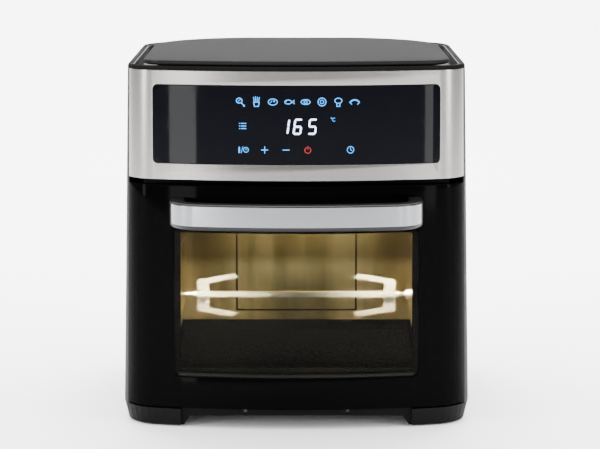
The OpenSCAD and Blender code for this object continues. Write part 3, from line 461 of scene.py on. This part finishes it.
def coil(name):
    """Copper windings between dark laminations."""
    f = Finish(name)
    turns = f.node("TexWave", {"bands_direction": "Z"}, Vector=f.place, Scale=420.0, Distortion=0.6)
    f.surface(Base_Color=f.mix(turns, rgb(0.2, 0.07, 0.025), rgb(0.62, 0.28, 0.1)), Metallic=0.8,
              Roughness=0.35 + 0.1 * turns, Normal=f.bump(turns, 0.4, 0.0003))
    return f.material


def heated(name):
    """Steel sheath darkened by heat."""
    f = Finish(name)
    scale = f.noise(60, 5, 0.7)
    fine = f.noise(600, 3)
    tone = f.mix(f.ramp(scale, 0.3, 0.75), rgb(0.05, 0.045, 0.042), rgb(0.2, 0.16, 0.13))
    f.surface(Base_Color=tone, Metallic=0.7,
              Roughness=0.5 + 0.2 * fine, Normal=f.bump(fine, 0.3, 0.0002))
    return f.material


finishes = {
    "base_plastic": plastic("base plastic", (0.004, 0.004, 0.0045), rough=0.5, spec=0.05),
    "rubber": rubber("rubber"),
    "zinc_screw": plated("zinc screw", (0.6, 0.6, 0.58), 0.3),
    "side_paint": plastic("side paint", (0.016, 0.016, 0.0165), rough=0.5, grain=700, depth=0.12, spec=0.05),
    "rear_steel": plastic("rear paint", (0.012, 0.012, 0.013), rough=0.5, grain=500, depth=0.3),
    "rim_plastic": plastic("rim plastic", (0.006, 0.006, 0.006), rough=0.6, depth=0.12, spec=0.006),
    "top_plastic": plastic("top plastic", (0.011, 0.011, 0.011), rough=0.75, grain=1000, depth=0.2,
                           spec=0.016),
    "band_steel": brushed("band steel", (0.26, 0.247, 0.235), (0.6, 90, 90), depth=0.16, tint=0.05,
                          rough=0.22),
    "inner_plastic": plastic("inner plastic", (0.004, 0.004, 0.0042), rough=0.55, spec=0.15),
    "panel_glass": gloss("panel gloss", (0.0010, 0.0012, 0.0026), 0.04, shine=0.075),
    "light_guide": plastic("light guide", (0.7, 0.7, 0.68), rough=0.5),
    "circuit_board": board("circuit board"),
    "door_black": gloss("door gloss", (0.0008, 0.0008, 0.0009), 0.06, shine=0.014),
    "outer_glass": pane("outer glass", (0.60, 0.60, 0.57), see=0.95),
    "inner_glass": pane("inner glass", (0.95, 0.95, 0.93), see=0.95),
    "liner_steel": liner("liner steel"),
    "silicone": rubber("silicone", (0.035, 0.035, 0.035)),
    "handle_black": plastic("handle black", (0.004, 0.004, 0.0045), rough=0.3, depth=0.05, coat=0.05,
                            spec=0.25),
    "handle_metal": brushed("handle metal", (0.24, 0.245, 0.255), (0.6, 90, 90), depth=0.16, tint=0.05,
                            rough=0.2),
    "plated_steel": plated("plated steel", (0.66, 0.66, 0.65)),
    "magnet": plastic("magnet", (0.05, 0.05, 0.055), rough=0.6, grain=300),
    "tray_black": plastic("tray coating", (0.0007, 0.0007, 0.0007), rough=0.6, grain=400, depth=0.2,
                          spec=0.0),
    "sheath": heated("heater sheath"),
    "ceramic": plastic("ceramic", (0.75, 0.72, 0.66), rough=0.7, grain=300),
    "fan_metal": plated("fan metal", (0.6, 0.6, 0.6), 0.3),
    "motor_copper": coil("motor windings"),
    "white_plastic": plastic("white nylon", (0.68, 0.68, 0.65), rough=0.45),
    "zinc_sheet": plated("zinc sheet", (0.55, 0.56, 0.57), 0.34),
    "spit_steel": plated("spit steel", (1.0, 0.97, 0.90), 0.42),
    "bulb_glass": glow("bulb glass", (1.0, 0.72, 0.38), 2.0),
}
slots = {part["node"]: part["material_slot"] for part in frame["record"]["subparts"]}
for name, obj in frame["nodes"].items():
    for i in range(len(obj.data.materials)):
        obj.data.materials[i] = finishes[slots[name]]


# ---------------------------------------------------------------- outer skins
def build_side(sign, node):
    z0, z1 = BASE_H, BAND_TOP
    start, end = seam_u(z0), body_plan.half - COVER_HALF

    def place(u, z, h):
        t = (u - start) / (end - start)
        s = seam_u(z)
        p = on_body(s + (end - s) * t, z, h)
        return Vector((p.x * sign, p.y, p.z))

    bm = flat_bm([rounded(start, end, z0, z1, 0.3, 2)], SKIN, 0.35)
    for v in bm.verts:
        v.co.z -= SKIN / 2
    wrap(bm, body_plan.steps(start, end)[1:-1], place)
    if sign < 0:
        bmesh.ops.reverse_faces(bm, faces=bm.faces[:])
    flange = [on_body(body_plan.half - x, z, -1.85)
              for x in (COVER_HALF - 14, COVER_HALF + 1) for z in (z0 + 1, z1 - 1)]
    verts = [bm.verts.new(world(Vector((p.x * sign, p.y, p.z)))) for p in flange]
    bm.faces.new((verts[0], verts[1], verts[3], verts[2]))
    finish_mesh(node.replace("panel", "skin"), bm, finishes["side_paint"], "housing",
                stands_for=[node])


build_side(1, "right_side_panel")
build_side(-1, "left_side_panel")


def build_rim():
    us = body_plan.steps(-body_plan.half, body_plan.half)[:-1]
    profile = [(0, BAND_TOP), (0, BAND_TOP + 1.6), (-0.15, BAND_TOP + 2.4), (-0.5, RIM_TOP - 0.7),
               (-1.1, RIM_TOP - 0.15), (-1.8, RIM_TOP), (-4.2, RIM_TOP), (-4.8, RIM_TOP - 0.3),
               (-5, RIM_TOP - 1.2), (-5, BAND_TOP)]
    bm = sweep(us, profile, on_body, closed_path=True)
    finish_mesh("rim skin", bm, finishes["rim_plastic"], "housing",
                stands_for=["top_rim"])
    profile = [(-5, RIM_TOP - 1.1), (-6, RIM_TOP - 1.6), (-6, WELL_Z + 3), (-6.3, WELL_Z + 2.3),
               (-7, WELL_Z + 2), (-40, WELL_Z + 2), (-40, WELL_Z), (-3.9, WELL_Z),
               (-3.9, BAND_TOP - 0.1), (-5, BAND_TOP - 0.1)]
    bm = sweep(us, profile, on_body, closed_path=True)
    bm.faces.new([bm.verts.new(world(on_body(u, WELL_Z + 1, -30))) for u in us])
    finish_mesh("grip channel", bm, finishes["inner_plastic"], "housing",
                stands_for=["top_rim"])


build_rim()


def build_top_plate():
    us = plate_plan.steps(-plate_plan.half, plate_plan.half)[:-1]
    skirt = [(-13, WELL_Z + 2), (-13, PLATE_Z), (-3, PLATE_Z), (-0.9, PLATE_Z + 0.9), (-0.2, PLATE_Z + 1.9),
             (-0.1, PLATE_Z + 3.4), (-2, PLATE_Z + 3.4)]
    bm = sweep(us, skirt, on_plate, closed_path=True, closed_profile=False)
    finish_mesh("plate skirt", bm, finishes["inner_plastic"], "housing",
                stands_for=["top_plate"])
    profile = [(-0.6, PLATE_Z + 3.4), (0, PLATE_Z + 3.5)]
    profile += [(-1.4 * (1 - math.cos(a)), PLATE_Z + 3.7 + 1.05 * math.sin(a))
                for a in (math.radians(d) for d in (18, 36, 54, 72, 90))]
    profile += [(-6, BODY_H - 0.5), (-12, BODY_H - 0.3), (-18, BODY_H - 0.2)]
    bm = bmesh.new()
    rows = add_sweep(bm, us, profile, on_plate, closed_path=True, closed_profile=False)
    middle = bm.verts.new(world(Vector((0, 150, BODY_H - 0.05))))
    inner = []
    for row in rows:
        v = row[-1].co
        inner.append(bm.verts.new(v.lerp(middle.co, 0.55)))
    n = len(rows)
    for i in range(n):
        j = (i + 1) % n
        bm.faces.new((rows[i][-1], rows[j][-1], inner[j], inner[i]))
        bm.faces.new((inner[i], inner[j], middle))
    bmesh.ops.recalc_face_normals(bm, faces=bm.faces[:])
    finish_mesh("top plate skin", bm, finishes["top_plastic"], "housing", sharp=50,
                stands_for=["top_plate"])


build_top_plate()


def front_plate(z0, z1, holes, thickness, bevel, top, back=0.5, radius=0.5):
    """Plate wrapped round the bowed front between the two side seams, with its outer face at h = top."""
    reach = seam_u(z0, SEAM_Y - back)

    def place(u, z, h):
        edge = seam_u(z, SEAM_Y - back)
        corner = 139.0
        if abs(u) > corner:
            u = math.copysign(corner + (abs(u) - corner) * (edge - corner) / (reach - corner), u)
        return on_body(u, z, h + top - thickness / 2)

    bm = flat_bm([rounded(-reach, reach, z0, z1, radius, 3)] + holes, thickness, bevel)
    return wrap(bm, body_plan.steps(-reach, reach)[1:-1], place)


def patch(loops, thickness, bevel, top, place=on_body, steps=2):
    """Thin plate from loops, wrapped round the body or the handle, with its outer face at h = top."""
    xs = [x for x, y in loops[0]]
    bm = flat_bm(loops, thickness, bevel, steps)
    plan = body_plan if place is on_body else handle_plan
    cuts = plan.steps(min(xs), max(xs))[1:-1]
    return wrap(bm, cuts, lambda u, z, h: place(u, z, h + top - thickness / 2))


panel_u = u_where(lambda u: on_body(u, PANEL_MID).x > PANEL_W / 2, 0, 200)
panel_z0, panel_z1 = PANEL_MID - PANEL_H / 2, PANEL_MID + PANEL_H / 2
panel_loop = rounded(-panel_u, panel_u, panel_z0, panel_z1, 5)
finish_mesh("steel band", front_plate(BAND_Z, BAND_TOP, [panel_loop], 1.0, 0.45, 0.0),
            finishes["band_steel"], "housing", stands_for=["control_band"])
inset = 0.35
face_loop = rounded(-panel_u + inset, panel_u - inset, panel_z0 + inset, panel_z1 - inset, 4.7)
finish_mesh("touch face", patch([face_loop], 1.2, 0.3, 0.1), finishes["panel_glass"], "housing",
            stands_for=["touch_panel"])

# ---------------------------------------------------------------- door
window_u = u_where(lambda u: on_body(u, 120).x > WINDOW_W / 2, 0, 200)


def window_loop(grow, radius):
    return rounded(-window_u - grow, window_u + grow, WINDOW_Z - grow, WINDOW_TOP + grow, radius)


def build_door():
    bm = front_plate(DOOR_Z, DOOR_TOP, [window_loop(0, 8)], 3.0, 0.7, 0.0)
    ledge = patch([window_loop(5, 10), window_loop(-6, 3)], 2.0, 0.2, -3.2)
    merge(bm, ledge)
    for z0, z1 in ((DOOR_Z + 0.3, DOOR_Z + 3), (DOOR_TOP - 3, DOOR_TOP - 0.3)):
        merge(bm, door_wall(z0, z1))
    finish_mesh("door shell", bm, finishes["door_black"], "door",
                stands_for=["door_frame"])


def merge(bm, other):
    mesh = bpy.data.meshes.new("part")
    other.to_mesh(mesh)
    other.free()
    bm.from_mesh(mesh)
    bpy.data.meshes.remove(mesh)


def door_wall(z0, z1):
    """Flat wall that closes the door's shell at its top or bottom edge."""
    reach = seam_u(z0, DOOR_BACK)
    bm = bmesh.new()
    layers = []
    for z in (z0, z1):
        layers.append([bm.verts.new(world(on_body(u, z, -0.8))) for u in body_plan.steps(-reach, reach)])
    bm.faces.new(layers[0][::-1])
    bm.faces.new(layers[1])
    n = len(layers[0])
    for i in range(n):
        j = (i + 1) % n
        bm.faces.new((layers[0][i], layers[0][j], layers[1][j], layers[1][i]))
    bmesh.ops.recalc_face_normals(bm, faces=bm.faces[:])
    return bm


def build_window():
    """Tinted pane with its printed border and the grey sill at its lower edge."""
    border = [window_loop(-0.4, 7.6),
              rounded(-window_u + 5.2, window_u - 5.2, WINDOW_Z + 3.6, WINDOW_TOP - 5, 4)]
    sill = [rounded(-window_u + 4, window_u - 4, WINDOW_Z + 0.6, WINDOW_Z + 3.4, 0.8, 3)]
    grey = plastic("sill grey", (0.05, 0.052, 0.055), rough=0.3, spec=0.3)
    for name, bm, material in (("pane border", patch(border, 0.1, 0.0, -3.2), finishes["inner_plastic"]),
                               ("window sill", patch(sill, 0.1, 0.0, -3.18), grey),
                               ("door pane", patch(border[:1], 3.0, 0.3, -0.15), finishes["outer_glass"])):
        finish_mesh(name, bm, material, "door", stands_for=["door_outer_glass"])


build_door()
build_window()


# ---------------------------------------------------------------- handle
def build_handle():
    arm = u_where(lambda u: on_handle(u, 0, -HANDLE_T / 2).y > 14.0, 100, 300)
    z0, z1 = HANDLE_Z, HANDLE_Z + HANDLE_H
    outer = [(-3.0, z0), (-1.2, z0 + 0.6), (-0.4, z0 + 1.6), (-0.05, z0 + 2.8), (0, z0 + 4.0),
             (0, z1 - 2.2), (-0.25, z1 - 1.2), (-0.9, z1 - 0.4), (-2.0, z1)]
    back = -HANDLE_T
    inner = [(back + 2.5, z1), (back + 0.8, z1 - 0.7), (back, z1 - 2.4), (back, z0 + 2.4),
             (back + 0.8, z0 + 0.7), (back + 2.5, z0)]
    bm = sweep(handle_plan.steps(-arm, arm, 4.0), outer + inner, on_handle)
    finish_mesh("handle bar", bm, finishes["handle_black"], "door",
                stands_for=["handle_body"])
    reach = u_where(lambda u: on_handle(u, 0).x > HANDLE_W / 2 - 2.2, 0, 200)
    loop = rounded(-reach, reach, z0 + 4.0, z1 - 2.0, 1.2, 4)
    finish_mesh("handle strip", patch([loop], 0.8, 0.3, 0.12, on_handle), finishes["handle_metal"], "door",
                stands_for=["handle_plate"])


build_handle()


# ---------------------------------------------------------------- lit marks on the panel
def disc(x, y, r, n=28):
    return [(x + r * math.cos(2 * math.pi * i / n), y + r * math.sin(2 * math.pi * i / n)) for i in range(n)]


def stroke(points, width):
    """A line of round-ended segments, as loops."""
    loops = []
    for (x0, y0), (x1, y1) in zip(points, points[1:]):
        dx, dy = x1 - x0, y1 - y0
        length = math.hypot(dx, dy) or 1
        nx, ny = -dy / length * width / 2, dx / length * width / 2
        loops.append([(x0 + nx, y0 + ny), (x0 - nx, y0 - ny), (x1 - nx, y1 - ny), (x1 + nx, y1 + ny)])
    loops += [disc(x, y, width / 2, 12) for x, y in points]
    return loops


def bow_line(x, y, r, a0, a1, n=14):
    turns = [math.radians(a0 + (a1 - a0) * i / n) for i in range(n + 1)]
    return [(x + r * math.cos(turn), y + r * math.sin(turn)) for turn in turns]


def dash(x0, x1, y, width=0.9):
    """A square-ended level dash, as one loop."""
    return [(x0, y - width / 2), (x1, y - width / 2), (x1, y + width / 2), (x0, y + width / 2)]


def lit(name, shapes, x, z, material, scale=1.0, slant=0.0):
    """Thin lit shapes on the panel face; each entry is one loop, or a list of an outer loop and its holes."""
    bm = bmesh.new()
    for shape in shapes:
        loops = shape if isinstance(shape[0], list) else [shape]
        moved = [[(x + (px + slant * py) * scale, z + py * scale) for px, py in loop] for loop in loops]
        merge(bm, patch(moved, 0.06, 0.0, 0.2))
    finish_mesh(name, bm, material, "housing")


def icon_shapes():
    """The eight food marks, left to right."""
    w = 0.75

    def ring(x, y, rx, ry, line=0.8, n=26):
        outer = [(x + px * rx, y + py * ry) for px, py in disc(0, 0, 1, n)]
        inner = [(x + px * (rx - line), y + py * (ry - line)) for px, py in disc(0, 0, 1, n)]
        return [outer, inner]

    def frame_of(points, share):
        cx = sum(x for x, y in points) / len(points)
        cy = sum(y for x, y in points) / len(points)
        return [points, [(cx + (x - cx) * share, cy + (y - cy) * share) for x, y in points]]

    drumstick = [ring(-0.8, 1.0, 3.0, 2.6), disc(3.4, -3.5, 0.9, 14)]
    drumstick += stroke([(1.3, -1.0), (3.2, -3.2)], 0.9) + stroke([(-1.9, 0.4), (0.2, 1.9)], 0.6)
    fries = [frame_of([(-3, 0.2), (3, 0.2), (2.2, -4.4), (-2.2, -4.4)], 0.66)]
    for foot, x, top in ((-2, -2.6, 4), (-0.7, -0.9, 4.6), (0.7, 0.9, 4.2), (2, 2.6, 3.8)):
        fries += stroke([(foot, 0.6), (x, top)], w)
    steak = [ring(0, 0, 4.4, 3.1), disc(1.2, 0.7, 0.8, 14)] + stroke([(-2.2, -0.8), (-0.6, 1.0)], 0.6)
    fish = [ring(-0.9, 0, 3.5, 2.1), frame_of([(2.3, 0), (4.6, 2.2), (4.6, -2.2)], 0.45)]
    fish += [disc(-2.7, 0.4, 0.45, 10)]
    prawn = [ring(0, 0, 4.4, 2.5), ring(0, 0, 1.7, 1.6, 0.7)]
    pie = [ring(0, 0, 3.9, 3.9), ring(0, 0, 1.9, 1.9, 0.7)]
    bread = [ring(0, 1.0, 3.6, 2.7)]
    bread += stroke([(-1.4, -1.6), (-1.4, -4.0), (1.4, -4.0), (1.4, -1.6)], w)
    cake = stroke(bow_line(0, -3.4, 5.0, 35, 145), 1.3)
    for side in (-1, 1):
        cake += stroke([(4.2 * side, -0.6), (2.6 * side, -2.2)], w)
    return [drumstick, fries, steak, fish, prawn, pie, bread, cake]


def digit_shapes(digit, wide=6.5, tall=6.8, half=0.85, trim=0.75, tip=0.7):
    """The six-sided bars of one seven-segment digit."""
    segments = {"a": ((0, tall), (wide, tall)), "b": ((wide, tall), (wide, 0)),
                "c": ((wide, 0), (wide, -tall)), "d": ((0, -tall), (wide, -tall)),
                "e": ((0, 0), (0, -tall)), "f": ((0, tall), (0, 0)), "g": ((0, 0), (wide, 0))}
    shown = {1: "bc", 6: "acdefg", 5: "acdfg"}
    bars = []
    for key in shown[digit]:
        start, end = (Vector(point) for point in segments[key])
        along = (end - start).normalized()
        side = Vector((-along.y, along.x)) * half
        a, b, point = start + along * trim, end - along * trim, along * tip
        bars.append([tuple(v) for v in (a - point, a + side, b + side, b + point, b - side, a - side)])
    return bars


def build_marks():
    blue = glow("icon light", (0.03, 0.36, 1.0), 1.7)
    pale = glow("digit light", (0.62, 0.70, 1.0), 5.0)
    red = glow("power light", (0.6, 0.01, 0.008), 0.3)
    for i, shapes in enumerate(icon_shapes()):
        lit(f"food mark {i + 1}", shapes, -54.1 + 15.73 * i, MARK_ROW, blue, 1.08)
    for k, (digit, left) in enumerate(((1, -14.2), (6, -1.9), (5, 12.2))):
        lit(f"digit {k + 1}", digit_shapes(digit), left, DIGIT_ROW, pale, 1.0, 0.13)
    degree = [[disc(-3.2, 1.9, 1.0, 16), disc(-3.2, 1.9, 0.55, 12)]]
    degree += stroke(bow_line(0.3, 0, 2.2, 50, 310), 0.75)
    lit("degree mark", degree, 35.9, DIGIT_ROW + 6.7, blue, 0.72)
    rows = [dash(x0, x1, y) for x0, x1 in ((-3.6, -2.4), (-1.6, 3.8)) for y in (2.6, 0, -2.6)]
    lit("list mark", rows, -51.8, DIGIT_ROW + 0.5, blue, 0.95)
    lamp = [[(-4.9, -3), (-3.3, -3), (-3.3, 1.2), (-3.7, 3), (-4.5, 3), (-4.9, 1.2)]]
    lamp += stroke([(-2.2, -3), (-0.6, 3)], 0.6) + [[disc(2.4, 0, 2.7, 26), disc(2.4, 0, 2.0, 24)]]
    lamp += stroke([(2.4, 1.2), (2.4, 0), (3.4, 0)], 0.5)
    level, upright = stroke([(-3, 0), (3, 0)], 0.9), stroke([(0, -3), (0, 3)], 0.9)
    power = stroke(bow_line(0, -0.2, 2.9, 120, 420), 0.85) + stroke([(0, 0.6), (0, 3.6)], 0.85)
    clock = [[disc(0, 0, 3.5, 30), disc(0, 0, 2.8, 26)]] + stroke([(0, 2), (0, 0), (1.5, -0.9)], 0.65)
    for name, shapes, x, light in (
            ("lamp and clock mark", lamp, -50.9, blue), ("plus mark", level + upright, -30.5, blue),
            ("minus mark", level, -9.9, blue), ("power mark", power, 11, red),
            ("clock mark", clock, 52.1, blue)):
        lit(name, shapes, x, BUTTON_ROW, light)


build_marks()


# ---------------------------------------------------------------- floor, light and camera
def build_stage():
    bm = bmesh.new()
    """Pale floor that bends up into the wall behind."""
    flat_end, bend = 1.8, 1.2
    profile = [(-4.0, 0.0), (flat_end, 0.0)]
    for turn in (math.radians(a) for a in range(6, 91, 6)):
        profile.append((flat_end + bend * math.sin(turn), bend - bend * math.cos(turn)))
    profile.append((flat_end + bend, 4.0))
    rows = [[bm.verts.new((x, y, z)) for y, z in profile] for x in (-6, 6)]
    for i in range(len(profile) - 1):
        bm.faces.new((rows[0][i], rows[1][i], rows[1][i + 1], rows[0][i + 1]))
    f = Finish("studio_floor")
    soft = f.noise(3, 3)
    f.surface(Base_Color=f.mix(soft, rgb(0.94, 0.94, 0.94), rgb(0.97, 0.97, 0.97)),
              Roughness=0.6 + 0.2 * soft)
    mesh = bpy.data.meshes.new("studio_floor")
    bm.to_mesh(mesh)
    bm.free()
    mesh.shade_smooth()
    mesh.materials.append(f.material)
    floor = bpy.data.objects.new("studio_floor", mesh)
    bpy.context.scene.collection.objects.link(floor)


def area(name, where, look, size, power, colour=(1, 1, 1)):
    light = bpy.data.lights.new(name, "AREA")
    light.shape = "RECTANGLE"
    light.size, light.size_y = size
    light.energy = power
    light.color = colour
    obj = bpy.data.objects.new(name, light)
    bpy.context.scene.collection.objects.link(obj)
    obj.location = where
    obj.rotation_euler = (Vector(look) - Vector(where)).to_track_quat("-Z", "Y").to_euler()
    return obj


def build_light():
    world_data = bpy.data.worlds.new("studio")
    bpy.context.scene.world = world_data
    world_data.use_nodes = True
    background = world_data.node_tree.nodes["Background"].inputs
    background["Color"].default_value = rgb(1, 1, 1)
    background["Strength"].default_value = 0.78
    area("overhead", (0, 0.1, 2.4), (0, 0.25, 0.0), (3.2, 2.6), 235)
    area("back wash", (0, 1.6, 2.2), (0, 1.9, 0.0), (3.5, 0.8), 300)
    area("left bank", (-1.75, -1.0, 0.8), (0, 0, 0.25), (0.35, 1.5), 28)
    area("right bank", (1.75, -1.0, 0.8), (0, 0, 0.25), (0.35, 1.5), 28)
    area("left strip", (-0.70, -1.45, 0.26), (0, -0.15, 0.3), (0.17, 0.7), 5)
    area("right strip", (0.80, -1.35, 0.26), (0, -0.15, 0.3), (0.08, 0.7), 2)
    for name, x, y, z, aim, size, power, spread in (
            ("cavity glow", 0, 150, 213, (0, CAVITY_BACK, 150), (0.10, 0.03), 2.4, 120),
            ("left fork light", -80, 66, 213, (-84, SPIT_Y, SPIT_Z), (0.02, 0.02), 1.7, 50),
            ("right fork light", 80, 66, 213, (84, SPIT_Y, SPIT_Z), (0.02, 0.02), 1.7, 50)):
        light = area(name, world((x, y, z)), world(aim), size, power, (1.0, 0.84, 0.54))
        light.data.spread = math.radians(spread)
        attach(light, "housing")


def build_camera():
    camera = bpy.data.cameras.new("camera")
    camera.lens = 127.2
    camera.sensor_width = 36
    obj = bpy.data.objects.new("camera", camera)
    bpy.context.scene.collection.objects.link(obj)
    distance, height, look_down = 2.0, 0.5395, 9.55
    obj.location = (0.0, FRONT_Y * MM - distance, height)
    obj.rotation_euler = (math.radians(90 - look_down), 0, 0)
    camera.shift_x = 0.006
    bpy.context.scene.camera = obj


build_stage()
build_light()
build_camera()
